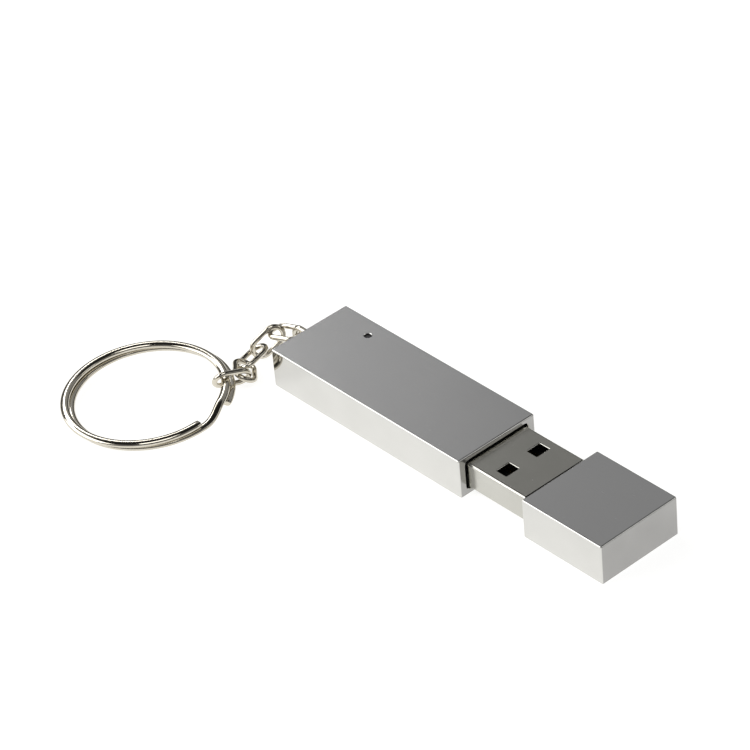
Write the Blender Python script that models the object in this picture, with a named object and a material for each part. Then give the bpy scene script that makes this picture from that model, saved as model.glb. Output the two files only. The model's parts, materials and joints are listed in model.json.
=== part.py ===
"""A metal bar USB flash drive: a rectangular case with its plug, board and chips, a slip-off
cap that lies pulled off in line with it, and a short chain with a split key ring.

Sizes are in millimetres and MM turns them into metres. The origin is the middle of the case's
underside. +X points along the case to the plug and the cap, +Z points up.
"""

import math

import bmesh
import bpy
from mathutils import Matrix, Vector

MM = 0.001

# Case: a milled metal bar with one open end
CASE_LENGTH = 41.0
CASE_SIDE_WALL = 1.25
CASE_TOP_WALL = 0.8  # above and below the bay
CASE_EDGE = 0.25  # rounding of the outer edges
CASE_END_WALL = 2.4  # the closed end, which holds the eyelet

# USB plug, with the sizes that every such plug has
PLUG_WIDTH = 12.0
PLUG_HEIGHT = 4.5
PLUG_LENGTH = 18.75
PLUG_EXPOSED = 11.8  # how far it stands out of the case
PLUG_SHEET = 0.3
PLUG_CORNER = 0.4
WINDOW_TO_TIP = 6.4
WINDOW_SPACING = 6.1
WINDOW_LONG = 2.0  # along the plug
WINDOW_WIDE = 2.5
TONGUE_THICKNESS = 1.75
TONGUE_SETBACK = 0.6  # the tongue's end behind the shell's front edge
TONGUE_BARE = 8.8  # length of the tongue in front of its thick rear block
CONTACT_WIDTH = 1.0
CONTACT_THICKNESS = 0.2
CONTACTS = {  # name: (distance off the centre line, setback from the tongue's end)
    "contact_power": (-3.5, 0.8),
    "contact_data_minus": (-1.0, 1.8),
    "contact_data_plus": (1.0, 1.8),
    "contact_ground": (3.5, 0.8),
}
CONTACT_TAIL = 1.5  # length that lies over the board

# Board and what is soldered to it: sizes are (length, width, height)
CHIP_EDGE = 0.1  # rounding of the moulded packages' edges
CRYSTAL_EDGE = 0.15
SMALL_PART_EDGE = 0.08
RESISTOR_EDGE = 0.06
BOARD_THICKNESS = 0.8
BOARD_END_GAP = 2.5  # between the board and the bay's end
BOARD_EDGE_COVER = 0.3  # how far the carrier's rails reach over the board's edges
FLASH_WIDTH = 8.6
FLASH_HEIGHT = 1.0
FLASH_SPACE = 2.3  # between the flash memory and the parts in front of it and behind it
CONTROLLER_SIZE = (6.0, 6.0, 0.7)
CONTROLLER_FROM_FRONT = 9.0  # from the board's front edge to its middle
CRYSTAL_SIZE = (3.2, 2.5, 0.75)
REGULATOR_SIZE = (1.5, 2.9, 1.1)
CAPACITOR_SIZE = (0.9, 1.7, 0.8)
RESISTOR_SIZE = (0.6, 1.1, 0.4)
LED_SIZE = (1.6, 0.8, 0.55)
FRONT_ROW_SETBACK = 4.6  # from the board's front edge
CRYSTAL_OFF_CENTRE = 2.3
REGULATOR_OFF_CENTRE = -3.0
FRONT_CAPACITOR_OFF_CENTRE = -0.2
REAR_CAPACITORS_OFF_CENTRE = (-3.9, -1.3)
RESISTORS_OFF_CENTRE = 1.5
RESISTOR_SPACING = 1.6

# Carrier: two plastic halves that clamp the board inside the case
CARRIER_SKIN = 0.35
CARRIER_RAIL = 0.8

# Light pipe and its hole in the top of the case
PIPE_FROM_END = 8.4  # from the case's closed end
PIPE_OFF_CENTRE = 4.5
PIPE_DIAMETER = 1.0
PIPE_FLANGE_DIAMETER = 1.5
PIPE_FLANGE_HEIGHT = 0.5
PIPE_SUNK = 0.25

# Cap: a metal shell with a plastic liner that grips the plug
CAP_CLEAR_OF_TIP = 1.1  # how far off the plug's tip the cap lies
CAP_TIP_ROOM = 1.5  # in front of the plug's tip when the cap is on
CAP_SIDE_WALL = 0.7
CAP_TOP_WALL = 0.55
CAP_END_WALL = 1.2
LINER_FLOOR = 1.2
LINER_SUNK = 0.2  # the liner's rim behind the cap's rim

# Eyelet: a wire staple pressed into the closed end
EYELET_WIRE = 1.0
EYELET_RADIUS = 1.35  # of the wire's centre line
EYELET_REACH = 1.4  # straight length outside the case
EYELET_PLAY = 0.17  # clearance where the first link hangs in it
EYELET_BEARING = 139.0  # of the first link's end from the middle of the bend, degrees
EYELET_DEPTH = 1.9  # how far its legs are pressed into the end wall
EYELET_OFF_CENTRE = -0.5
EYELET_HEIGHT = 4.65  # of its middle

# Chain links: ovals of round wire
LINK_WIRE = 0.85
LINK_PLAY = 0.25  # clearance where one link hooks into the next
LINK_SIDE_PLAY = 0.725  # clearance on each side of a wire that passes through a link
LINK_FREE_LENGTH = 3.0  # inside a link, between the two wires that hook into it
# Each link as it lies, from the eyelet to the ring: heading, rise and roll in degrees, and how
# far short of its full reach the next one hooks in
LINK_POSES = (
    (-167.0, -11.0, -2.0, 0.69),
    (-109.0, -34.0, 99.0, 0.78),
    (-86.0, -12.0, 22.0, 0.66),
    (-38.0, 8.0, 152.0, 0.56),
    (-108.0, 10.0, 66.0, 0.79),
)

# Split ring: two turns of flattened wire
RING_DIAMETER = 26.0
RING_WIRE_WIDE = 1.4
RING_WIRE_HIGH = 0.9
RING_COIL_GAP = 0.08
RING_HEADING = -123.0  # from where the last link hooks in to the ring's centre, degrees
RING_TILT = 2.6  # its hooked side lies on the last link, the other on the table
RING_END = 2.0  # heading of the upper turn's end from the ring's centre, degrees
RING_CROSSOVER = 28.0  # degrees over which the wire steps from one turn to the other
RING_LEAN = (-0.1, -0.8)  # how far the upper turn sits off the lower one
RING_STEPS = 86  # stations along its wire

# Clearances
SEAT = 0.1  # between parts that seat on each other
PART_GAP = 0.3  # between neighbours that stay clear of each other
MOUTH_GAP = 0.35  # between the plug and the case's mouth
PLUG_SLIDE = 0.14  # between the plug and the cap's liner
PAST = 1.0  # how far a cutter reaches past the surface that it opens

# Sizes and places worked out from those above
CASE_WIDTH = PLUG_WIDTH + 2 * MOUTH_GAP + 2 * CASE_SIDE_WALL
CASE_HEIGHT = PLUG_HEIGHT + 2 * MOUTH_GAP + 2 * CASE_TOP_WALL
CAP_LENGTH = PLUG_EXPOSED + CAP_TIP_ROOM + LINER_FLOOR + SEAT + CAP_END_WALL
MOUTH_X = CASE_LENGTH / 2
CLOSED_X = -CASE_LENGTH / 2
MID_Z = CASE_HEIGHT / 2
BAY_HALF_WIDTH = PLUG_WIDTH / 2 + MOUTH_GAP
BAY_LOW = MID_Z - PLUG_HEIGHT / 2 - MOUTH_GAP
BAY_HIGH = MID_Z + PLUG_HEIGHT / 2 + MOUTH_GAP
BAY_END_X = CLOSED_X + CASE_END_WALL
BAY_CORNER = PLUG_CORNER + MOUTH_GAP
TIP_X = MOUTH_X + PLUG_EXPOSED
PLUG_BACK_X = TIP_X - PLUG_LENGTH
TONGUE_LOW = MID_Z - PLUG_HEIGHT / 2 + PLUG_SHEET + SEAT
TONGUE_TOP = TONGUE_LOW + TONGUE_THICKNESS
BOARD_TOP = TONGUE_TOP
BOARD_LOW = BOARD_TOP - BOARD_THICKNESS
BOARD_FRONT_X = PLUG_BACK_X - PART_GAP
BOARD_BACK_X = BAY_END_X + BOARD_END_GAP
CARRIER_HALF_WIDTH = BAY_HALF_WIDTH - SEAT
RAIL_HALF_GAP = CARRIER_HALF_WIDTH - CARRIER_RAIL
BOARD_HALF_WIDTH = RAIL_HALF_GAP + BOARD_EDGE_COVER
PIPE_X = CLOSED_X + PIPE_FROM_END
CAP_X = TIP_X + CAP_CLEAR_OF_TIP
CAP_END_X = CAP_X + CAP_LENGTH
LINER_HALF_WIDTH = CASE_WIDTH / 2 - CAP_SIDE_WALL - SEAT
LINER_LOW = CAP_TOP_WALL + SEAT
LINK_WIDTH = 3 * LINK_WIRE + 2 * LINK_SIDE_PLAY
LINK_LENGTH = 4 * LINK_WIRE + LINK_FREE_LENGTH
EYELET_BEND_X = CLOSED_X - EYELET_REACH

METAL = ((0.62, 0.61, 0.59), 0.28, 1.0)
PLUG_METAL = ((0.55, 0.54, 0.52), 0.3, 1.0)
NICKEL = ((0.66, 0.63, 0.57), 0.2, 1.0)
GOLD = ((0.83, 0.62, 0.25), 0.3, 1.0)
BLACK_PLASTIC = ((0.02, 0.02, 0.022), 0.5, 0.0)
CHIP = ((0.03, 0.03, 0.032), 0.6, 0.0)
BOARD_GREEN = ((0.02, 0.13, 0.05), 0.45, 0.0)
CERAMIC = ((0.45, 0.33, 0.2), 0.5, 0.0)
CLEAR = ((0.85, 0.86, 0.88), 0.15, 0.0)
LED_WHITE = ((0.85, 0.83, 0.7), 0.4, 0.0)


def clear_scene():
    for old in list(bpy.data.objects):
        bpy.data.objects.remove(old, do_unlink=True)


def paint(name, finish):
    colour, roughness, metallic = finish
    material = bpy.data.materials.new(name)
    material.use_nodes = True
    shader = material.node_tree.nodes["Principled BSDF"]
    shader.inputs["Base Color"].default_value = (*colour, 1.0)
    shader.inputs["Roughness"].default_value = roughness
    shader.inputs["Metallic"].default_value = metallic
    return material


def add_object(name, bm, finish=None, smooth_below=35.0):
    """An object from a bmesh in millimetres; with no finish it is a hidden cutter."""
    bmesh.ops.recalc_face_normals(bm, faces=bm.faces)
    bmesh.ops.scale(bm, vec=(MM, MM, MM), verts=bm.verts)
    mesh = bpy.data.meshes.new(name)
    bm.to_mesh(mesh)
    bm.free()
    made = bpy.data.objects.new(name, mesh)
    bpy.context.scene.collection.objects.link(made)
    if finish is None:
        made.hide_render = True
        made.display_type = "WIRE"
    else:
        mesh.materials.append(paint(name, finish))
        mesh.shade_smooth()
        mesh.set_sharp_from_angle(angle=math.radians(smooth_below))
    return made


def block_mesh(low, high):
    bm = bmesh.new()
    bmesh.ops.create_cube(bm, size=1.0)
    for vert in bm.verts:
        vert.co = [(a + b) / 2 + c * (b - a) for a, b, c in zip(low, high, vert.co)]
    return bm


def block(name, low, high, finish=None, edge=0.0, axis=None):
    """A box; edge rounds all its edges, or only those along one axis."""
    bm = block_mesh(low, high)
    if edge:
        along = [e for e in bm.edges if axis is None or abs((e.verts[0].co - e.verts[1].co)[axis]) > 1e-6]
        bmesh.ops.bevel(bm, geom=along, offset=edge, segments=2, profile=0.5, affect="EDGES")
    return add_object(name, bm, finish)


def centred_block(name, centre, floor_z, size, finish, edge=0.0):
    """A box that stands on floor_z, or hangs below it when its height is negative."""
    length, width, height = size
    z = sorted((floor_z, floor_z + height))
    low = (centre[0] - length / 2, centre[1] - width / 2, z[0])
    high = (centre[0] + length / 2, centre[1] + width / 2, z[1])
    return block(name, low, high, finish, edge)


def rod(name, start, end, radius, finish=None, sides=24):
    """A round rod between two points."""
    bm = bmesh.new()
    bmesh.ops.create_cone(
        bm, cap_ends=True, segments=sides, radius1=radius, radius2=radius, depth=1.0
    )
    start, end = Vector(start), Vector(end)
    turn = Vector((0, 0, 1)).rotation_difference(end - start)
    for vert in bm.verts:
        flat = Vector((vert.co.x, vert.co.y, vert.co.z * (end - start).length))
        vert.co = (start + end) / 2 + turn @ flat
    return add_object(name, bm, finish)


def hang(piece, point):
    """Puts a piece's origin on the joint that it moves about; its shape stays where it is."""
    point = Vector(point) * MM
    piece.data.transform(Matrix.Translation(-point))
    piece.location = point


def carve(target, *cutters):
    for cutter in cutters:
        modifier = target.modifiers.new(cutter.name, "BOOLEAN")
        modifier.operation = "DIFFERENCE"
        modifier.solver = "EXACT"
        modifier.object = cutter


def sweep(name, rings, closed, finish):
    """A tube through rings of points, joined end to start or capped at both ends."""
    bm = bmesh.new()
    loops = [[bm.verts.new(point) for point in ring] for ring in rings]
    pairs = list(zip(loops, loops[1:]))
    if closed:
        pairs.append((loops[-1], loops[0]))
    for first, second in pairs:
        for k in range(len(first)):
            after = (k + 1) % len(first)
            bm.faces.new((first[k], first[after], second[after], second[k]))
    if not closed:
        bm.faces.new(loops[0])
        bm.faces.new(loops[-1])
    return add_object(name, bm, finish, smooth_below=60.0)


def section(centre, side, up, half_wide, half_high, points, power=2.0):
    """Points round an oval section; a power above 2 squares it off."""
    ring = []
    for k in range(points):
        angle = 2 * math.pi * k / points
        c, s = math.cos(angle), math.sin(angle)
        x = math.copysign(abs(c) ** (2 / power), c) * half_wide
        y = math.copysign(abs(s) ** (2 / power), s) * half_high
        ring.append(centre + side * x + up * y)
    return ring


# Case ---------------------------------------------------------------------------------------


def eyelet_height(sign):
    return EYELET_HEIGHT + sign * EYELET_RADIUS


def make_case():
    case = block(
        "body_case",
        (CLOSED_X, -CASE_WIDTH / 2, 0),
        (MOUTH_X, CASE_WIDTH / 2, CASE_HEIGHT),
        METAL,
        CASE_EDGE,
    )
    bay = block(
        "case_bay",
        (BAY_END_X, -BAY_HALF_WIDTH, BAY_LOW),
        (MOUTH_X + PAST, BAY_HALF_WIDTH, BAY_HIGH),
        edge=BAY_CORNER,
        axis=0,
    )
    pipe_hole = rod(
        "pipe_hole",
        (PIPE_X, PIPE_OFF_CENTRE, MID_Z),
        (PIPE_X, PIPE_OFF_CENTRE, CASE_HEIGHT + PAST),
        PIPE_DIAMETER / 2 + SEAT,
    )
    bores = [
        rod(
            f"eyelet_bore_{sign}",
            (CLOSED_X - PAST, EYELET_OFF_CENTRE, eyelet_height(sign)),
            (CLOSED_X + EYELET_DEPTH + SEAT, EYELET_OFF_CENTRE, eyelet_height(sign)),
            EYELET_WIRE / 2 + SEAT,
            sides=16,
        )
        for sign in (-1, 1)
    ]
    carve(case, bay, pipe_hole, *bores)


def make_eyelet():
    """A staple: two legs in the closed end, joined by a half circle outside."""
    inside_x = CLOSED_X + EYELET_DEPTH
    path = [(Vector((inside_x, EYELET_OFF_CENTRE, eyelet_height(1))), Vector((0, 0, 1)))]
    for degrees in range(90, 271, 15):
        angle = math.radians(degrees)
        out = Vector((math.cos(angle), 0, math.sin(angle)))
        centre = Vector((EYELET_BEND_X, EYELET_OFF_CENTRE, EYELET_HEIGHT))
        path.append((centre + out * EYELET_RADIUS, out))
    path.append((Vector((inside_x, EYELET_OFF_CENTRE, eyelet_height(-1))), Vector((0, 0, -1))))
    rings = [
        section(point, out, Vector((0, 1, 0)), EYELET_WIRE / 2, EYELET_WIRE / 2, 12)
        for point, out in path
    ]
    sweep("key_eyelet", rings, False, NICKEL)


def make_carrier():
    ends = (BOARD_BACK_X - PART_GAP, BOARD_FRONT_X - CONTACT_TAIL - PART_GAP)
    low_z = BAY_LOW + SEAT
    high_z = BAY_HIGH - SEAT
    tray = block(
        "carrier_tray",
        (ends[0], -CARRIER_HALF_WIDTH, low_z),
        (ends[1], CARRIER_HALF_WIDTH, BOARD_LOW - SEAT),
        BLACK_PLASTIC,
        BAY_CORNER - SEAT,
        axis=0,
    )
    trough = block(
        "tray_trough",
        (ends[0] - PAST, -RAIL_HALF_GAP, low_z + CARRIER_SKIN),
        (ends[1] + PAST, RAIL_HALF_GAP, BOARD_LOW + PAST),
    )
    carve(tray, trough)
    cover = block(
        "carrier_cover",
        (ends[0], -CARRIER_HALF_WIDTH, BOARD_TOP + SEAT),
        (ends[1], CARRIER_HALF_WIDTH, high_z),
        BLACK_PLASTIC,
        BAY_CORNER - SEAT,
        axis=0,
    )
    hollow = block(
        "cover_hollow",
        (ends[0] - PAST, -RAIL_HALF_GAP, BOARD_TOP - PAST),
        (ends[1] + PAST, RAIL_HALF_GAP, high_z - CARRIER_SKIN),
    )
    pipe_way = rod(
        "pipe_way",
        (PIPE_X, PIPE_OFF_CENTRE, MID_Z),
        (PIPE_X, PIPE_OFF_CENTRE, CASE_HEIGHT),
        PIPE_DIAMETER / 2 + SEAT,
    )
    carve(cover, hollow, pipe_way)


def make_light_pipe():
    """A stem in the case's hole with a wide foot over the LED."""
    foot_low = BOARD_TOP + LED_SIZE[2] + 2 * SEAT
    foot_high = foot_low + PIPE_FLANGE_HEIGHT
    top = CASE_HEIGHT - PIPE_SUNK
    outline = [
        (PIPE_FLANGE_DIAMETER / 2, foot_low),
        (PIPE_FLANGE_DIAMETER / 2, foot_high),
        (PIPE_DIAMETER / 2, foot_high),
        (PIPE_DIAMETER / 2, top),
    ]
    rings = []
    for radius, z in outline:
        centre = Vector((PIPE_X, PIPE_OFF_CENTRE, z))
        rings.append(section(centre, Vector((1, 0, 0)), Vector((0, 1, 0)), radius, radius, 20))
    sweep("light_pipe", rings, False, CLEAR)


# Plug ---------------------------------------------------------------------------------------


def make_plug_shell():
    half = (PLUG_WIDTH / 2, PLUG_HEIGHT / 2)
    shell = block(
        "usb_plug_shell",
        (PLUG_BACK_X, -half[0], MID_Z - half[1]),
        (TIP_X, half[0], MID_Z + half[1]),
        PLUG_METAL,
        PLUG_CORNER,
        axis=0,
    )
    inner = (half[0] - PLUG_SHEET, half[1] - PLUG_SHEET)
    inside = block(
        "plug_inside",
        (PLUG_BACK_X - PAST, -inner[0], MID_Z - inner[1]),
        (TIP_X + PAST, inner[0], MID_Z + inner[1]),
        edge=PLUG_CORNER - PLUG_SHEET,
        axis=0,
    )
    windows = [
        block(
            f"plug_window_{sign}",
            (TIP_X - WINDOW_TO_TIP - WINDOW_LONG / 2, y - WINDOW_WIDE / 2, MID_Z - PLUG_HEIGHT),
            (TIP_X - WINDOW_TO_TIP + WINDOW_LONG / 2, y + WINDOW_WIDE / 2, MID_Z + PLUG_HEIGHT),
        )
        for sign, y in ((-1, -WINDOW_SPACING / 2), (1, WINDOW_SPACING / 2))
    ]
    carve(shell, inside, *windows)


def make_tongue():
    """The insulator: a thin tongue in front and a block that fills the shell behind it."""
    half_width = PLUG_WIDTH / 2 - PLUG_SHEET - SEAT
    front = TIP_X - TONGUE_SETBACK
    block_front = front - TONGUE_BARE
    back = PLUG_BACK_X + SEAT
    block_top = MID_Z + PLUG_HEIGHT / 2 - PLUG_SHEET - SEAT
    outline = [
        (back, TONGUE_LOW),
        (front, TONGUE_LOW),
        (front, TONGUE_TOP),
        (block_front, TONGUE_TOP),
        (block_front, block_top),
        (back, block_top),
    ]
    bm = bmesh.new()
    profile = bm.faces.new([bm.verts.new((x, -half_width, z)) for x, z in outline])
    pushed = bmesh.ops.extrude_face_region(bm, geom=[profile])["geom"]
    moved = [item for item in pushed if isinstance(item, bmesh.types.BMVert)]
    bmesh.ops.translate(bm, vec=(0, 2 * half_width, 0), verts=moved)
    tongue = add_object("plug_tongue", bm, BLACK_PLASTIC)
    slots = [
        block(
            f"slot_{name}",
            (back - PAST, y - CONTACT_WIDTH / 2 - SEAT, TONGUE_TOP - SEAT / 2),
            (block_front + PAST, y + CONTACT_WIDTH / 2 + SEAT, TONGUE_TOP + CONTACT_THICKNESS + 2 * SEAT),
        )
        for name, (y, _) in CONTACTS.items()
    ]
    carve(tongue, *slots)


def make_contacts():
    for name, (y, setback) in CONTACTS.items():
        low = (BOARD_FRONT_X - CONTACT_TAIL, y - CONTACT_WIDTH / 2, TONGUE_TOP + SEAT)
        front = TIP_X - TONGUE_SETBACK - setback
        high = (front, y + CONTACT_WIDTH / 2, TONGUE_TOP + SEAT + CONTACT_THICKNESS)
        block(name, low, high, GOLD)


# Board --------------------------------------------------------------------------------------


def make_board():
    block(
        "circuit_board",
        (BOARD_BACK_X, -BOARD_HALF_WIDTH, BOARD_LOW),
        (BOARD_FRONT_X, BOARD_HALF_WIDTH, BOARD_TOP),
        BOARD_GREEN,
    )
    on_top = BOARD_TOP + SEAT
    under = BOARD_LOW - SEAT
    front_x = BOARD_FRONT_X - FRONT_ROW_SETBACK
    flash_ends = (
        PIPE_X + CAPACITOR_SIZE[0] / 2 + FLASH_SPACE,
        front_x - CRYSTAL_SIZE[0] / 2 - FLASH_SPACE,
    )
    flash_size = (flash_ends[1] - flash_ends[0], FLASH_WIDTH, FLASH_HEIGHT)
    centred_block("flash_memory", (sum(flash_ends) / 2, 0), on_top, flash_size, CHIP, CHIP_EDGE)
    length, width, height = CONTROLLER_SIZE
    chip_x = BOARD_FRONT_X - CONTROLLER_FROM_FRONT
    chip_size = (length, width, -height)
    centred_block("controller_chip", (chip_x, 0), under, chip_size, CHIP, CHIP_EDGE)
    crystal_at = (front_x, CRYSTAL_OFF_CENTRE)
    centred_block("crystal", crystal_at, on_top, CRYSTAL_SIZE, PLUG_METAL, CRYSTAL_EDGE)
    regulator_at = (front_x, REGULATOR_OFF_CENTRE)
    centred_block("voltage_regulator", regulator_at, on_top, REGULATOR_SIZE, CHIP, CHIP_EDGE)
    led_at = (PIPE_X, PIPE_OFF_CENTRE)
    centred_block("status_led", led_at, on_top, LED_SIZE, LED_WHITE, SMALL_PART_EDGE)
    places = [(PIPE_X, y) for y in REAR_CAPACITORS_OFF_CENTRE]
    places.append((front_x, FRONT_CAPACITOR_OFF_CENTRE))
    for number, place in enumerate(places, 1):
        name = f"capacitor_{number}"
        centred_block(name, place, on_top, CAPACITOR_SIZE, CERAMIC, SMALL_PART_EDGE)
    for number in (1, 2):
        name = f"resistor_{number}"
        place = (PIPE_X - (number - 1) * RESISTOR_SPACING, RESISTORS_OFF_CENTRE)
        centred_block(name, place, on_top, RESISTOR_SIZE, CHIP, RESISTOR_EDGE)


# Cap ----------------------------------------------------------------------------------------


def make_cap():
    shell = block(
        "cap_shell",
        (CAP_X, -CASE_WIDTH / 2, 0),
        (CAP_END_X, CASE_WIDTH / 2, CASE_HEIGHT),
        METAL,
        CASE_EDGE,
    )
    room = block(
        "cap_room",
        (CAP_X - PAST, -LINER_HALF_WIDTH - SEAT, LINER_LOW - SEAT),
        (CAP_END_X - CAP_END_WALL, LINER_HALF_WIDTH + SEAT, CASE_HEIGHT - LINER_LOW + SEAT),
    )
    carve(shell, room)
    hang(shell, (CAP_X, 0, MID_Z))
    liner_end = CAP_END_X - CAP_END_WALL - SEAT
    liner = block(
        "cap_liner",
        (CAP_X + LINER_SUNK, -LINER_HALF_WIDTH, LINER_LOW),
        (liner_end, LINER_HALF_WIDTH, CASE_HEIGHT - LINER_LOW),
        BLACK_PLASTIC,
    )
    socket_half = (PLUG_WIDTH / 2 + PLUG_SLIDE, PLUG_HEIGHT / 2 + PLUG_SLIDE)
    socket = block(
        "liner_socket",
        (CAP_X - PAST, -socket_half[0], MID_Z - socket_half[1]),
        (liner_end - LINER_FLOOR, socket_half[0], MID_Z + socket_half[1]),
    )
    carve(liner, socket)
    hang(liner, (CAP_X, 0, MID_Z))


# Chain and ring -----------------------------------------------------------------------------


def link_frame(heading, rise, roll):
    """Unit vectors along a link, across it in its plane, and square to it."""
    heading, rise, roll = (math.radians(a) for a in (heading, rise, roll))
    flat = math.cos(rise)
    along = Vector((flat * math.cos(heading), flat * math.sin(heading), math.sin(rise)))
    level = Vector((-math.sin(heading), math.cos(heading), 0))
    across = math.cos(roll) * level + math.sin(roll) * along.cross(level)
    return along, across, along.cross(across)


def link_path(centre, along, across):
    """Points and outward directions round a link's centre line."""
    bend = (LINK_WIDTH - LINK_WIRE) / 2
    straight = (LINK_LENGTH - LINK_WIDTH) / 2
    path = []
    for end in (1, -1):
        for degrees in range(-90, 91, 18):
            angle = math.radians(degrees)
            out = (along * math.cos(angle) + across * math.sin(angle)) * end
            path.append((centre + along * straight * end + out * bend, out))
    return path


def make_chain():
    """Hooks each link into the one before it; returns where the ring hooks in."""
    reach = LINK_LENGTH - LINK_WIRE
    hooked = (LINK_WIRE + LINK_PLAY) / 2
    bend = Vector((EYELET_BEND_X, EYELET_OFF_CENTRE, EYELET_HEIGHT))
    bearing = math.radians(EYELET_BEARING)
    out = EYELET_RADIUS - (EYELET_WIRE + LINK_WIRE) / 2 - EYELET_PLAY
    near = bend + Vector((math.cos(bearing), 0, math.sin(bearing))) * out
    hook = bend - Vector((EYELET_RADIUS, 0, 0))
    for number, (heading, rise, roll, slack) in enumerate(LINK_POSES, 1):
        along, across, square = link_frame(heading, rise, roll)
        if number > 1:
            near = hook - along * hooked
        rings = [
            section(point, out, square, LINK_WIRE / 2, LINK_WIRE / 2, 10)
            for point, out in link_path(near + along * reach / 2, along, across)
        ]
        hang(sweep(f"chain_link_{number}", rings, True, NICKEL), hook)
        hook = near + along * (reach - hooked - slack)
    return hook - along * (LINK_PLAY + RING_WIRE_WIDE) / 2


def make_ring(hook):
    """Two turns of wire; between its ends the wire steps from the upper turn to the lower."""
    heading, tilt = math.radians(RING_HEADING), math.radians(RING_TILT)
    away = Vector((math.cos(heading), math.sin(heading), 0))
    side = Vector((-away.y, away.x, 0))
    away = away * math.cos(tilt) - Vector((0, 0, math.sin(tilt)))
    up = away.cross(side)
    radius = (RING_DIAMETER - RING_WIRE_WIDE) / 2
    centre = hook + away * radius
    lean = Vector((RING_LEAN[0], RING_LEAN[1], 0)) / 2
    pitch = (RING_WIRE_HIGH + RING_COIL_GAP) / 2
    turn = 360.0 - RING_CROSSOVER
    rings = []
    for k in range(RING_STEPS + 1):
        gone = (turn * 2 + RING_CROSSOVER) * k / RING_STEPS
        step = min(max((gone - turn) / RING_CROSSOVER, 0.0), 1.0)
        level = math.cos(step * math.pi)
        angle = math.radians(RING_END - gone)
        out = away * math.cos(angle - heading) + side * math.sin(angle - heading)
        point = centre + out * radius + up * pitch * level + lean * level
        rings.append(
            section(point, out, up, RING_WIRE_WIDE / 2, RING_WIRE_HIGH / 2, 12, power=2.8)
        )
    hang(sweep("split_ring", rings, False, NICKEL), hook)


clear_scene()
make_case()
make_eyelet()
make_carrier()
make_light_pipe()
make_plug_shell()
make_tongue()
make_contacts()
make_board()
make_cap()
make_ring(make_chain())
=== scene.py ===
"""Looks for a metal bar USB flash drive with a slip-off cap, a link chain and a split ring.

Lengths in the constants are millimetres, and MM turns them into metres. Angles are degrees.
Places come from the frame.
"""

import json
import math

import bmesh
import bpy
from mathutils import Matrix, Vector


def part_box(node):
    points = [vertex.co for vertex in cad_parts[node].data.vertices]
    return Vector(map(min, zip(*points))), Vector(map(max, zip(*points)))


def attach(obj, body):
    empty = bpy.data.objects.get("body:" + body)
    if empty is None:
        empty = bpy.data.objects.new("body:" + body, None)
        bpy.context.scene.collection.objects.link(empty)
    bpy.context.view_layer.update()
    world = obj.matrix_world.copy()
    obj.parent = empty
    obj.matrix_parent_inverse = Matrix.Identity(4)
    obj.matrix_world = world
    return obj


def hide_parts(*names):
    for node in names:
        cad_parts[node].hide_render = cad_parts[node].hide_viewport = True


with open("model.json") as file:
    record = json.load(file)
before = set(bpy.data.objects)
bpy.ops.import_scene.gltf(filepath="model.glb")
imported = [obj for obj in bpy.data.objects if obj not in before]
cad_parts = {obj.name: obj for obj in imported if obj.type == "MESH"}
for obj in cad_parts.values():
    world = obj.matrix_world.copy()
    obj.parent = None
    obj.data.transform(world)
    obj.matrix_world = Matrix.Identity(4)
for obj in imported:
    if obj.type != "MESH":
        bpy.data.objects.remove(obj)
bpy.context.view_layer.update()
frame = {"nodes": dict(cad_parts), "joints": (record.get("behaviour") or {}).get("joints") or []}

MM = 0.001

# Camera: a long lens that looks down at the part, turned a little about its own axis
CAMERA_PLACE = Vector((336.4, -277.7, 330.3))
CAMERA_AIM = Vector((-7.5, 1.4, 3.4))
CAMERA_ROLL = -5.56
CAMERA_LENS = 176.6
CAMERA_SENSOR = 36.0

# Floor: a white sweep that glows, and falls off into a dark room
FLOOR_HALF = 2000.0
FLOOR_DROP = 0.02  # how far it lies under the part
SWEEP_RADIUS = 130.0
SWEEP_EDGE = 420.0
SWEEP_GLOW = 0.84

# Softboxes round the part: name, direction, distance and size in metres, and power in watts
LIGHTS = (
    ("key", (-0.63, -0.62, 0.5), 0.9, (0.95, 0.75), 5.6),
    ("overhead", (0.25, -0.2, 0.95), 1.0, (0.5, 0.5), 1.9),
    ("back", (0.6, 0.6, 0.5), 1.1, (0.5, 0.3), 0.5),
    ("strip", (-0.80, 0.02, 0.60), 0.8, (0.7, 0.08), 1.1),
    ("low back", (-0.72, 0.45, 0.53), 0.36, (0.12, 0.12), 0.0055),
)

# The studio's walls: how high a direction points, from 0 to 1, and the grey that it meets
WALLS = (
    (0.26, (0.03, 0.028, 0.025)),
    (0.5, (0.295, 0.295, 0.295)),
    (0.72, (0.295, 0.295, 0.295)),
    (0.80, (0.02, 0.02, 0.02)),
)

# Wire pieces, as the frame's own solids have them
LINK_LENGTH = 6.4
LINK_WIDTH = 4.0
LINK_WIRE = 0.85
LINK_COUNT = 5
EYELET_WIRE = 1.0
EYELET_RADIUS = 1.35
RING_DIAMETER = 26.0
RING_WIRE_WIDE = 1.4
RING_WIRE_HIGH = 0.9
RING_COIL_GAP = 0.08
RING_HEADING = -123.0
RING_TILT = 2.6
RING_SAG = 0.04  # keeps the round wire inside the frame's many-sided one
RING_END = 2.0  # where the wire starts, from the X axis
RING_CROSSOVER = 28.0  # the part of a turn in which the wire changes level
RING_LEAN = (-0.1, -0.8)  # how far the upper turn is shifted from the lower one
RING_BLUNT = 0.9  # the wire's last section, as a share of its full size
RING_SQUARE = 2.2  # above 2 the wire's section is fuller than an ellipse

# How finely round shapes are divided
BEND_STEPS = 24  # half a turn of a link
SIDE_STEPS = 12  # a link's straight side
EYELET_STEPS = 48
ROLL_STEPS = 6  # a window's rolled edge
RING_STEPS = 346
LINK_POINTS = 20  # round a section
THICK_POINTS = 24

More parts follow.
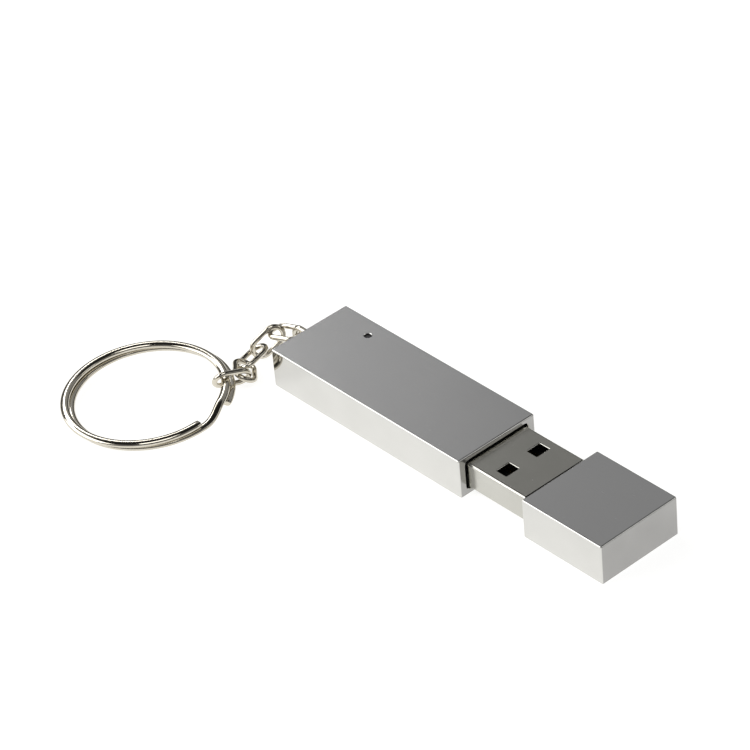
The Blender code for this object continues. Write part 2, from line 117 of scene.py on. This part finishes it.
# Shells
EDGE = 0.26  # rounding of the case's and the cap's outer edges
CASE_END_WALL = 2.4
MOUTH_BREAK = 0.12  # chamfer at a mouth's inner edge
BORE_BREAK = 0.08
PLUG_CORNER = 0.45
PLUG_SHEET = 0.3
PLUG_LIP = 0.08  # rounding of the sheet's front edge
WINDOW_TO_TIP = 6.4
WINDOW_SPACING = 6.1
WINDOW_LONG = 2.0
WINDOW_WIDE = 2.5
WINDOW_CORNER = 0.12
WINDOW_ROLL = 0.16  # rounding that the punch leaves round each window
CAP_END_WALL = 1.2
CAP_ROOM_CORNER = 0.05
LINER_FLOOR = 1.2
LINER_EDGE = 0.08
PIPE_HOLE = 1.2
MOUTH_GAP = 0.35
PLUG_SLIDE = 0.14
CLEARANCE = 0.1

# Cutters
CUT_PAST = 1.0  # how far a cutter stands out of what it cuts
CUT_LIP = 0.01  # where its flare starts
SMOOTH_BELOW = 40.0  # degrees between faces that shade as one


# Meshes -------------------------------------------------------------------------------------


def box_mm(node):
    """A node's lowest and highest corners in millimetres."""
    low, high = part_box(node)
    return low / MM, high / MM


def new_object(name, bm, smooth_below=SMOOTH_BELOW):
    """Turns a bmesh in millimetres into an object in metres."""
    bmesh.ops.recalc_face_normals(bm, faces=bm.faces)
    bmesh.ops.scale(bm, vec=(MM, MM, MM), verts=bm.verts)
    mesh = bpy.data.meshes.new(name)
    bm.to_mesh(mesh)
    bm.free()
    mesh.shade_smooth()
    mesh.set_sharp_from_angle(angle=math.radians(smooth_below))
    made = bpy.data.objects.new(name, mesh)
    bpy.context.scene.collection.objects.link(made)
    return made


def rounded_block(name, low, high, edge, segments=4):
    """A box whose edges are rounded."""
    bm = bmesh.new()
    bmesh.ops.create_cube(bm, size=1.0)
    for vert in bm.verts:
        vert.co = [(a + b) / 2 + c * (b - a) for a, b, c in zip(low, high, vert.co)]
    edges = list(bm.edges)
    bmesh.ops.bevel(bm, geom=edges, offset=edge, segments=segments, profile=0.5, affect="EDGES")
    return new_object(name, bm)


def loft(name, rings, closed=False, smooth_below=SMOOTH_BELOW):
    """A skin through rings of points, joined end to start or capped at both ends."""
    bm = bmesh.new()
    loops = [[bm.verts.new(point) for point in ring] for ring in rings]
    pairs = list(zip(loops, loops[1:]))
    if closed:
        pairs.append((loops[-1], loops[0]))
    for first, second in pairs:
        for k in range(len(first)):
            after = (k + 1) % len(first)
            bm.faces.new((first[k], first[after], second[after], second[k]))
    if not closed:
        bm.faces.new(loops[0])
        bm.faces.new(loops[-1])
    return new_object(name, bm, smooth_below)


def rectangle_ring(x, half_wide, half_high, centre_z, corner, steps=5):
    """A rounded rectangle square to X."""
    ring = []
    for quarter in range(4):
        sy = 1 if quarter in (0, 3) else -1
        sz = 1 if quarter in (0, 1) else -1
        for k in range(steps + 1):
            angle = math.radians(90 * (quarter + k / steps))
            y = sy * (half_wide - corner) + corner * math.cos(angle)
            z = sz * (half_high - corner) + corner * math.sin(angle)
            ring.append(Vector((x, y, centre_z + z)))
    return ring


def round_ring(centre, side, up, radius, points=48):
    """A circle."""
    angles = [2 * math.pi * k / points for k in range(points)]
    return [centre + side * radius * math.cos(a) + up * radius * math.sin(a) for a in angles]


def carve(target, *cutters):
    """Cuts the cutters out of the target and removes them."""
    for cutter in cutters:
        modifier = target.modifiers.new(cutter.name, "BOOLEAN")
        modifier.operation = "DIFFERENCE"
        modifier.solver = "EXACT"
        modifier.object = cutter
    depsgraph = bpy.context.evaluated_depsgraph_get()
    mesh = bpy.data.meshes.new_from_object(target.evaluated_get(depsgraph))
    target.modifiers.clear()
    target.data = mesh
    mesh.set_sharp_from_angle(angle=math.radians(SMOOTH_BELOW))
    weigh_normals(target)
    for cutter in cutters:
        bpy.data.objects.remove(cutter, do_unlink=True)


def weigh_normals(piece):
    """Keeps flat faces flat where they meet small roundings."""
    modifier = piece.modifiers.new("weighted_normals", "WEIGHTED_NORMAL")
    modifier.weight = 100
    modifier.keep_sharp = True


def place(piece, body, node, slot, material):
    """Hands a piece to its body, in the place of the node that it stands for."""
    piece.data.materials.clear()
    piece.data.materials.append(material)
    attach(piece, body)
    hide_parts(node)


# Materials ----------------------------------------------------------------------------------


class Nodes:
    """A short way to write a material's node tree."""

    def __init__(self, name):
        self.material = bpy.data.materials.new(name)
        self.material.use_nodes = True
        self.tree = self.material.node_tree
        self.shader = self.tree.nodes["Principled BSDF"]

    def add(self, kind, inputs=None, **settings):
        """Adds a node; an input is another node's output or a value."""
        node = self.tree.nodes.new(kind)
        for key, value in settings.items():
            setattr(node, key, value)
        for key, value in (inputs or {}).items():
            if isinstance(value, bpy.types.NodeSocket):
                self.tree.links.new(value, node.inputs[key])
            else:
                node.inputs[key].default_value = value
        return node

    def millimetres(self, stretch=(1.0, 1.0, 1.0)):
        """Object coordinates in millimetres, stretched along an axis for a grain."""
        place = self.add("ShaderNodeTexCoord").outputs["Object"]
        scale = [s / MM for s in stretch]
        return self.add("ShaderNodeMapping", {"Vector": place, "Scale": scale}).outputs["Vector"]

    def noise(self, scale, detail, stretch=(1.0, 1.0, 1.0), distortion=0.0):
        """Noise with so many features to a millimetre, from about 0.2 to 0.8."""
        inputs = {
            "Vector": self.millimetres(stretch),
            "Scale": scale,
            "Detail": detail,
            "Roughness": 0.55,
            "Distortion": distortion,
        }
        return self.add("ShaderNodeTexNoise", inputs).outputs["Fac"]

    def spread(self, value, low, high, out_low, out_high):
        """Maps a range of values to another, held at its ends."""
        inputs = {
            "Value": value,
            "From Min": low,
            "From Max": high,
            "To Min": out_low,
            "To Max": out_high,
        }
        return self.add("ShaderNodeMapRange", inputs).outputs["Result"]

    def maths(self, operation, first, second=0.0):
        return self.add("ShaderNodeMath", {0: first, 1: second}, operation=operation).outputs[0]

    def mix(self, factor, first, second):
        """Mixes two colours."""
        node = self.add("ShaderNodeMix", data_type="RGBA")
        for index, value in ((0, factor), (6, first), (7, second)):
            self.put(node.inputs[index], value)
        return node.outputs[2]

    def put(self, socket, value):
        """Gives a socket another node's output, a colour or a number."""
        if isinstance(value, bpy.types.NodeSocket):
            self.tree.links.new(value, socket)
        elif isinstance(value, tuple):
            socket.default_value = (*value, 1.0)
        else:
            socket.default_value = value

    def bump(self, height, distance):
        """A normal from a height, whose full range is the distance in millimetres."""
        inputs = {"Height": height, "Distance": distance * MM, "Strength": 1.0}
        return self.add("ShaderNodeBump", inputs).outputs["Normal"]

    def facing(self, axis):
        """How far the surface faces along an axis, either way, from 0 to 1."""
        normal = self.add("ShaderNodeTexCoord").outputs["Normal"]
        parts = self.add("ShaderNodeSeparateXYZ", {"Vector": normal})
        return self.maths("ABSOLUTE", parts.outputs[axis])

    def set(self, **sockets):
        """Sets the shader's sockets by their names in small letters, and gives the material."""
        for key, value in sockets.items():
            name = key.replace("_", " ").title().replace("Ior", "IOR")
            self.put(self.shader.inputs[name], value)
        return self.material


def case_material():
    """Plated bar: polished sides, a fine satin grain on the two wide faces, and rougher ends with
    painted shade in their colour.
    """
    n = Nodes("case_metal")
    wide = n.spread(n.facing("Z"), 0.85, 0.98, 0.0, 1.0)
    ends = n.spread(n.facing("X"), 0.85, 0.98, 0.0, 1.0)
    clouds = n.noise(0.12, 2.0)
    grain = n.noise(9.0, 2.0, stretch=(0.06, 1.0, 1.0))
    hairlines = n.spread(n.noise(14.0, 1.0, stretch=(0.02, 1.0, 1.0)), 0.62, 0.8, 0.0, 1.0)
    polished = n.mix(clouds, (0.605, 0.60, 0.572), (0.69, 0.683, 0.655))
    satin = n.mix(clouds, (0.695, 0.695, 0.695), (0.73, 0.73, 0.725))
    # painted shade: the end faces' colour is painted dark to stand in for the shaded floor that
    # they reflect
    ground = n.mix(clouds, (0.34, 0.335, 0.325), (0.43, 0.425, 0.415))
    colour = n.mix(ends, n.mix(wide, polished, satin), ground)
    rough_side = n.spread(clouds, 0.3, 0.7, 0.055, 0.10)
    rough_wide = n.spread(grain, 0.3, 0.7, 0.20, 0.25)
    rough = n.add("ShaderNodeMix", {0: wide, 2: rough_side, 3: rough_wide}).outputs[0]
    rough = n.maths("ADD", rough, n.maths("MULTIPLY", ends, 0.12))
    rough = n.maths("ADD", rough, n.maths("MULTIPLY", hairlines, 0.04))
    height = n.maths("ADD", n.maths("MULTIPLY", grain, wide), n.maths("MULTIPLY", hairlines, -0.3))
    return n.set(metallic=1.0, base_color=colour, roughness=rough, normal=n.bump(height, 0.0006))


def plug_material():
    """Plated sheet steel, a little yellow, with rolling lines along it."""
    n = Nodes("plug_steel")
    clouds = n.noise(0.25, 2.0)
    lines = n.noise(11.0, 2.0, stretch=(0.05, 1.0, 1.0))
    scuffs = n.spread(n.noise(1.6, 4.0, distortion=1.0), 0.55, 0.75, 0.0, 1.0)
    colour = n.mix(clouds, (0.50, 0.495, 0.45), (0.58, 0.57, 0.53))
    rough = n.maths("ADD", n.spread(lines, 0.3, 0.7, 0.17, 0.25), n.maths("MULTIPLY", scuffs, 0.05))
    return n.set(metallic=1.0, base_color=colour, roughness=rough, normal=n.bump(lines, 0.0012))


def wire_material():
    """Nickel plated wire, warm, with a few dull pits."""
    n = Nodes("nickel_wire")
    clouds = n.noise(0.5, 3.0)
    pits = n.spread(n.noise(6.0, 3.0), 0.6, 0.75, 0.0, 1.0)
    colour = n.mix(clouds, (0.53, 0.485, 0.39), (0.70, 0.67, 0.60))
    rough = n.maths("ADD", n.spread(clouds, 0.3, 0.7, 0.04, 0.08), n.maths("MULTIPLY", pits, 0.06))
    return n.set(metallic=1.0, base_color=colour, roughness=rough, normal=n.bump(pits, 0.002))


def plastic_material(name, dark, light, rough=(0.42, 0.58)):
    """Moulded plastic or resin with a fine spark-eroded grain."""
    n = Nodes(name)
    clouds = n.noise(0.4, 2.0)
    fine = n.noise(7.0, 4.0)
    return n.set(
        base_color=n.mix(clouds, dark, light),
        roughness=n.spread(fine, 0.3, 0.7, *rough),
        normal=n.bump(fine, 0.004),
    )


def gold_material():
    """Thin gold plating, worn along the way that a socket rubs it."""
    n = Nodes("gold_contact")
    wear = n.noise(1.2, 3.0, stretch=(0.2, 1.0, 1.0))
    colour = n.mix(wear, (0.83, 0.58, 0.20), (0.90, 0.70, 0.34))
    rough = n.spread(wear, 0.3, 0.7, 0.16, 0.3)
    return n.set(metallic=1.0, base_color=colour, roughness=rough, normal=n.bump(wear, 0.002))


def board_material():
    """Solder mask over laminate, with the glass weave just showing."""
    n = Nodes("board_laminate")
    squares = {"Vector": n.millimetres(), "Scale": 2.5}
    weave = n.add("ShaderNodeTexChecker", squares).outputs["Fac"]
    clouds = n.noise(0.3, 2.0)
    tint = n.mix(clouds, (0.012, 0.10, 0.035), (0.02, 0.15, 0.055))
    colour = n.mix(n.maths("MULTIPLY", weave, 0.15), tint, (0.05, 0.2, 0.08))
    rough = n.spread(clouds, 0.3, 0.7, 0.25, 0.38)
    return n.set(base_color=colour, roughness=rough, normal=n.bump(weave, 0.003))


def pipe_material():
    """Smoked clear plastic, dark until the light behind it is on."""
    n = Nodes("smoked_plastic")
    ripples = n.noise(2.0, 2.0)
    return n.set(
        base_color=n.mix(ripples, (0.05, 0.05, 0.052), (0.10, 0.10, 0.105)),
        roughness=n.spread(ripples, 0.3, 0.7, 0.06, 0.14),
        transmission_weight=0.6,
        ior=1.49,
        normal=n.bump(ripples, 0.004),
    )


# Pieces -------------------------------------------------------------------------------------


def hollow_cutter(name, mouth_x, end_x, half_wide, half_high, centre_z, corner):
    """A pocket's cutter, flared where it opens so that the mouth's inner edge is broken."""
    inward = math.copysign(1.0, end_x - mouth_x)
    stations = [
        (mouth_x - inward * CUT_PAST, MOUTH_BREAK),
        (mouth_x - inward * CUT_LIP, MOUTH_BREAK),
        (mouth_x + inward * MOUTH_BREAK, 0.0),
        (end_x, 0.0),
    ]
    rings = [
        rectangle_ring(x, half_wide + extra, half_high + extra, centre_z, corner + extra)
        for x, extra in stations
    ]
    return loft(name, rings)


def bore_cutter(name, centre, direction, radius, depth):
    """A bore's cutter with a broken edge; centre is where it opens."""
    side = direction.orthogonal().normalized()
    up = direction.cross(side)
    stations = [(-CUT_PAST, BORE_BREAK), (-CUT_LIP, BORE_BREAK), (BORE_BREAK, 0.0), (depth, 0.0)]
    rings = [
        round_ring(centre + direction * at, side, up, radius + extra) for at, extra in stations
    ]
    return loft(name, rings)


def make_case(material):
    """The bar, with its bay, the indicator's hole and the two bores of the eyelet's legs."""
    low, high = box_mm("body_case")
    plug_low, plug_high = box_mm("usb_plug_shell")
    pipe_low, pipe_high = box_mm("light_pipe")
    eye_low, eye_high = box_mm("key_eyelet")
    middle = (low.z + high.z) / 2
    case = rounded_block("case_shell", low, high, EDGE)
    bay = hollow_cutter(
        "bay_cutter",
        high.x,
        low.x + CASE_END_WALL,
        (plug_high.y - plug_low.y) / 2 + MOUTH_GAP,
        (plug_high.z - plug_low.z) / 2 + MOUTH_GAP,
        middle,
        PLUG_CORNER + MOUTH_GAP,
    )
    pipe = Vector(((pipe_low.x + pipe_high.x) / 2, (pipe_low.y + pipe_high.y) / 2, high.z))
    hole = bore_cutter("hole_cutter", pipe, Vector((0, 0, -1)), PIPE_HOLE / 2, high.z - middle)
    depth = eye_high.x - low.x + CLEARANCE
    bores = []
    for z in (eye_low.z + EYELET_WIRE / 2, eye_high.z - EYELET_WIRE / 2):
        mouth = Vector((low.x, (eye_low.y + eye_high.y) / 2, z))
        radius = EYELET_WIRE / 2 + CLEARANCE
        bores.append(bore_cutter(f"bore_cutter_{z:.0f}", mouth, Vector((1, 0, 0)), radius, depth))
    carve(case, bay, hole, *bores)
    place(case, "drive", "body_case", "case_metal", material)


def make_cap(metal, plastic):
    """The cap's shell and the sleeve in it that grips the plug."""
    low, high = box_mm("cap_shell")
    liner_low, liner_high = box_mm("cap_liner")
    plug_low, plug_high = box_mm("usb_plug_shell")
    middle = (low.z + high.z) / 2
    shell = rounded_block("cap_body", low, high, EDGE)
    room = hollow_cutter(
        "room_cutter",
        low.x,
        high.x - CAP_END_WALL,
        (liner_high.y - liner_low.y) / 2 + CLEARANCE,
        (liner_high.z - liner_low.z) / 2 + CLEARANCE,
        middle,
        CAP_ROOM_CORNER,
    )
    carve(shell, room)
    place(shell, "cap", "cap_shell", "case_metal", metal)
    liner = rounded_block("cap_inner_sleeve", liner_low, liner_high, LINER_EDGE, segments=2)
    socket = hollow_cutter(
        "socket_cutter",
        liner_low.x,
        liner_high.x - LINER_FLOOR,
        (plug_high.y - plug_low.y) / 2 + PLUG_SLIDE,
        (plug_high.z - plug_low.z) / 2 + PLUG_SLIDE,
        middle,
        PLUG_CORNER,
    )
    carve(liner, socket)
    place(liner, "cap", "cap_liner", "black_plastic", plastic)


def make_plug(material):
    """The plug's folded sheet, with two windows above and two below."""
    low, high = box_mm("usb_plug_shell")
    middle = (low.z + high.z) / 2
    half_wide = (high.y - low.y) / 2
    half_high = (high.z - low.z) / 2
    lip = PLUG_LIP
    outside = [(low.x, 0.0), (high.x - lip, 0.0), (high.x - lip / 4, -lip / 3), (high.x, -lip)]
    inside = [
        (low.x - CUT_PAST, 0.0),
        (high.x - lip, 0.0),
        (high.x, lip),
        (high.x + CUT_PAST, lip + CUT_PAST),
    ]
    skin = [
        rectangle_ring(x, half_wide + e, half_high + e, middle, PLUG_CORNER + e, steps=6)
        for x, e in outside
    ]
    hollow = [
        rectangle_ring(
            x,
            half_wide - PLUG_SHEET + e,
            half_high - PLUG_SHEET + e,
            middle,
            PLUG_CORNER - PLUG_SHEET + e,
        )
        for x, e in inside
    ]
    shell = loft("plug_shell", skin)
    cutters = [loft("plug_bore_cutter", hollow)]
    for sign in (-1, 1):
        centre = Vector((high.x - WINDOW_TO_TIP, sign * WINDOW_SPACING / 2, middle))
        for face in (-1, 1):
            cutters.append(window_cutter(f"window_cutter_{sign}_{face}", centre, half_high, face))
    carve(shell, *cutters)
    place(shell, "drive", "usb_plug_shell", "plug_steel", material)


def window_cutter(name, centre, half_high, face):
    """A rectangular punch with small corners; it flares at the outer face as a punch rolls it."""
    stations = [(CUT_PAST, 0.0)]
    for k in range(ROLL_STEPS + 1):
        angle = math.radians(90 * k / ROLL_STEPS)
        down, out = 1 - math.sin(angle), 1 - math.cos(angle)
        stations.append((WINDOW_ROLL * down, WINDOW_ROLL * out))
    stations.append((-CUT_PAST, WINDOW_ROLL))
    rings = []
    for depth, extra in stations:
        z = centre.z + face * (half_high - depth)
        half_long, half_wide = WINDOW_LONG / 2 + extra, WINDOW_WIDE / 2 + extra
        ring = rectangle_ring(0, half_long, half_wide, 0, WINDOW_CORNER + extra, steps=3)
        rings.append([Vector((centre.x + p.y, centre.y + p.z, z)) for p in ring])
    return loft(name, rings)


def node_frame(node):
    """A piece's middle and its long, middle and short directions, from its points."""
    points = [v.co / MM for v in frame["nodes"][node].data.vertices]
    middle = sum(points, Vector()) / len(points)
    spread = Matrix(((0, 0, 0), (0, 0, 0), (0, 0, 0)))
    for p in points:
        d = p - middle
        for i in range(3):
            for j in range(3):
                spread[i][j] += d[i] * d[j]
    long = main_direction(spread)
    size = long.dot(spread @ long)
    for i in range(3):
        for j in range(3):
            spread[i][j] -= size * long[i] * long[j]
    across = main_direction(spread)
    return middle, long, across, long.cross(across)


def main_direction(spread):
    """The direction in which points lie furthest apart, by repeated multiplication."""
    direction = Vector((0.53, 0.61, 0.59))  # any start that isn't square to the answer
    for _ in range(200):
        direction = (spread @ direction).normalized()
    return direction


def make_link(number, material):
    """An oval of round wire, laid where the frame's link lies."""
    node = f"chain_link_{number}"
    middle, along, across, square = node_frame(node)
    bend = (LINK_WIDTH - LINK_WIRE) / 2
    straight = (LINK_LENGTH - LINK_WIDTH) / 2
    path = []
    for end in (1, -1):
        for k in range(BEND_STEPS + 1):
            angle = math.radians(-90 + 180 * k / BEND_STEPS)
            out = (along * math.cos(angle) + across * math.sin(angle)) * end
            path.append((middle + along * straight * end + out * bend, out))
        for k in range(1, SIDE_STEPS):
            share = 1 - 2 * k / SIDE_STEPS
            out = across * end
            path.append((middle + along * straight * share * end + out * bend, out))
    half = LINK_WIRE / 2
    rings = [wire_ring(point, out, square, half, half, LINK_POINTS) for point, out in path]
    link = loft(f"wire_link_{number}", rings, closed=True, smooth_below=80.0)
    place(link, f"link_{number}", node, "nickel_wire", material)


def wire_ring(centre, side, up, half_wide, half_high, points, power=2.0):
    """A wire's section: an ellipse, or a fuller shape with a power above 2."""
    ring = []
    for k in range(points):
        angle = 2 * math.pi * k / points
        c, s = math.cos(angle), math.sin(angle)
        x = math.copysign(abs(c) ** (2 / power), c) * half_wide
        y = math.copysign(abs(s) ** (2 / power), s) * half_high
        ring.append(centre + side * x + up * y)
    return ring


def make_eyelet(material):
    """A staple of round wire, with its two legs in the end wall."""
    low, high = box_mm("key_eyelet")
    middle = (low + high) / 2
    turn_x = low.x + EYELET_RADIUS + EYELET_WIRE / 2
    across = Vector((0, 1, 0))
    path = [(Vector((high.x, middle.y, middle.z + EYELET_RADIUS)), Vector((0, 0, 1)))]
    for k in range(EYELET_STEPS + 1):
        angle = math.radians(90 + 180 * k / EYELET_STEPS)
        out = Vector((math.cos(angle), 0, math.sin(angle)))
        path.append((Vector((turn_x, middle.y, middle.z)) + out * EYELET_RADIUS, out))
    path.append((Vector((high.x, middle.y, middle.z - EYELET_RADIUS)), Vector((0, 0, -1))))
    half = EYELET_WIRE / 2
    rings = [wire_ring(point, out, across, half, half, THICK_POINTS) for point, out in path]
    eyelet = loft("wire_eyelet", rings, smooth_below=60.0)
    place(eyelet, "drive", "key_eyelet", "nickel_wire", material)


def make_ring(material):
    """Two turns of flattened wire; between its ends the wire steps from one turn to the other."""
    hook = Vector(joint("ring_swing")["pos_m"]) / MM
    heading, tilt = math.radians(RING_HEADING), math.radians(RING_TILT)
    away = Vector((math.cos(heading), math.sin(heading), 0))
    side = Vector((-away.y, away.x, 0))
    away = away * math.cos(tilt) - Vector((0, 0, math.sin(tilt)))
    up = away.cross(side)
    radius = (RING_DIAMETER - RING_WIRE_WIDE) / 2 - RING_SAG
    reach = radius + RING_SAG
    centre = hook + away * reach
    lean = Vector((RING_LEAN[0], RING_LEAN[1], 0)) / 2
    pitch = (RING_WIRE_HIGH + RING_COIL_GAP) / 2
    turn = 360.0 - RING_CROSSOVER
    total = turn * 2 + RING_CROSSOVER
    rings = []
    for k in range(RING_STEPS + 1):
        gone = total * k / RING_STEPS
        step = min(max((gone - turn) / RING_CROSSOVER, 0.0), 1.0)
        level = math.cos(step * math.pi)
        angle = math.radians(RING_END - gone)
        out = away * math.cos(angle - heading) + side * math.sin(angle - heading)
        point = centre + out * radius + up * pitch * level + lean * level
        shrink = RING_BLUNT if k in (0, RING_STEPS) else 1.0
        half = (RING_WIRE_WIDE / 2 * shrink, RING_WIRE_HIGH / 2 * shrink)
        rings.append(wire_ring(point, out, up, *half, THICK_POINTS, power=RING_SQUARE))
    ring = loft("split_key_ring", rings, smooth_below=60.0)
    place(ring, "ring", "split_ring", "nickel_wire", material)


def joint(name):
    """A joint's row in the frame."""
    return next(j for j in frame["joints"] if j["name"] == name)


# Stage --------------------------------------------------------------------------------------


def make_camera():
    """The camera at its measured place, turned about its own axis."""
    camera = bpy.data.objects.new("camera", bpy.data.cameras.new("camera"))
    camera.data.lens = CAMERA_LENS
    camera.data.sensor_width = CAMERA_SENSOR
    camera.data.clip_start = 0.01
    camera.location = CAMERA_PLACE * MM
    look = (CAMERA_AIM - CAMERA_PLACE).to_track_quat("-Z", "Y").to_matrix().to_4x4()
    turned = look @ Matrix.Rotation(math.radians(CAMERA_ROLL), 4, "Z")
    camera.rotation_euler = turned.to_euler()
    bpy.context.scene.collection.objects.link(camera)
    bpy.context.scene.camera = camera


def make_floor():
    """A pale glowing sweep, darker and unlit away from the part."""
    bm = bmesh.new()
    bmesh.ops.create_grid(bm, x_segments=1, y_segments=1, size=FLOOR_HALF)
    floor = new_object("floor", bm)
    n = Nodes("floor")
    away = n.add("ShaderNodeVectorMath", {0: n.millimetres()}, operation="LENGTH").outputs["Value"]
    glow = n.spread(away, SWEEP_RADIUS, SWEEP_EDGE, SWEEP_GLOW, 0.0)
    far = n.spread(away, SWEEP_RADIUS, SWEEP_EDGE, 0.0, 1.0)
    n.set(
        roughness=0.9,
        base_color=n.mix(far, (0.42, 0.42, 0.415), (0.1, 0.1, 0.1)),
        emission_color=(1.0, 1.0, 0.995),
        emission_strength=glow,
    )
    floor.data.materials.append(n.material)
    floor.location.z = -FLOOR_DROP * MM


def softbox(name, direction, distance, size, power):
    """A rectangular lamp that faces the part."""
    lamp = bpy.data.lights.new(name, "AREA")
    lamp.shape = "RECTANGLE"
    lamp.size, lamp.size_y = size
    lamp.energy = power
    made = bpy.data.objects.new(name, lamp)
    direction = Vector(direction).normalized()
    made.location = direction * distance
    made.rotation_euler = direction.to_track_quat("Z", "Y").to_euler()
    bpy.context.scene.collection.objects.link(made)


def make_world():
    """A studio's walls, dark low down and mid grey higher up, under a dark ceiling."""
    world = bpy.data.worlds.new("studio")
    world.use_nodes = True
    tree = world.node_tree
    place = tree.nodes.new("ShaderNodeTexCoord")
    parts = tree.nodes.new("ShaderNodeSeparateXYZ")
    ramp = tree.nodes.new("ShaderNodeValToRGB")
    tree.links.new(place.outputs["Generated"], parts.inputs["Vector"])
    tree.links.new(parts.outputs["Z"], ramp.inputs["Fac"])
    stops = ramp.color_ramp.elements
    stops[0].position = WALLS[0][0]
    stops[1].position = WALLS[1][0]
    for height, _ in WALLS[2:]:
        stops.new(height)
    for stop, (_, grey) in zip(stops, WALLS):
        stop.color = (*grey, 1.0)
    tree.links.new(ramp.outputs["Color"], tree.nodes["Background"].inputs["Color"])
    bpy.context.scene.world = world


# Looks of the pieces that stay the frame's own ----------------------------------------------


def dress(names, look):
    """Gives the frame's own pieces a material."""
    for name in names:
        slots = frame["nodes"][name].data.materials
        slots.clear()
        slots.append(look)


def dress_inner_pieces(black):
    """Materials for the board, what sits on it and what holds it."""
    dress(("plug_tongue", "carrier_tray", "carrier_cover"), black)
    dress(("circuit_board",), board_material())
    dress(("light_pipe",), pipe_material())
    contacts = [f"contact_{line}" for line in ("power", "data_minus", "data_plus", "ground")]
    dress(contacts, gold_material())
    resin = plastic_material("chip_resin", (0.018, 0.018, 0.019), (0.035, 0.035, 0.037))
    dress(("flash_memory", "controller_chip", "voltage_regulator"), resin)
    ceramic = plastic_material(
        "capacitor_ceramic", (0.36, 0.24, 0.13), (0.5, 0.37, 0.22), (0.35, 0.5)
    )
    dress([f"capacitor_{number}" for number in (1, 2, 3)], ceramic)
    film = plastic_material(
        "resistor_film", (0.02, 0.02, 0.024), (0.05, 0.05, 0.055), (0.25, 0.4)
    )
    dress([f"resistor_{number}" for number in (1, 2)], film)
    dress(("crystal",), plug_material())
    lens = plastic_material("led_lens", (0.75, 0.72, 0.55), (0.88, 0.86, 0.74), (0.2, 0.32))
    dress(("status_led",), lens)


bpy.context.scene.view_settings.view_transform = "Standard"
make_camera()
make_floor()
make_world()
for light in LIGHTS:
    softbox(*light)

CASE = case_material()
WIRE = wire_material()
BLACK = plastic_material("black_plastic", (0.010, 0.010, 0.011), (0.018, 0.018, 0.02))
make_case(CASE)
make_cap(CASE, BLACK)
make_plug(plug_material())
make_eyelet(WIRE)
make_ring(WIRE)
for link_number in range(1, LINK_COUNT + 1):
    make_link(link_number, WIRE)
dress_inner_pieces(BLACK)
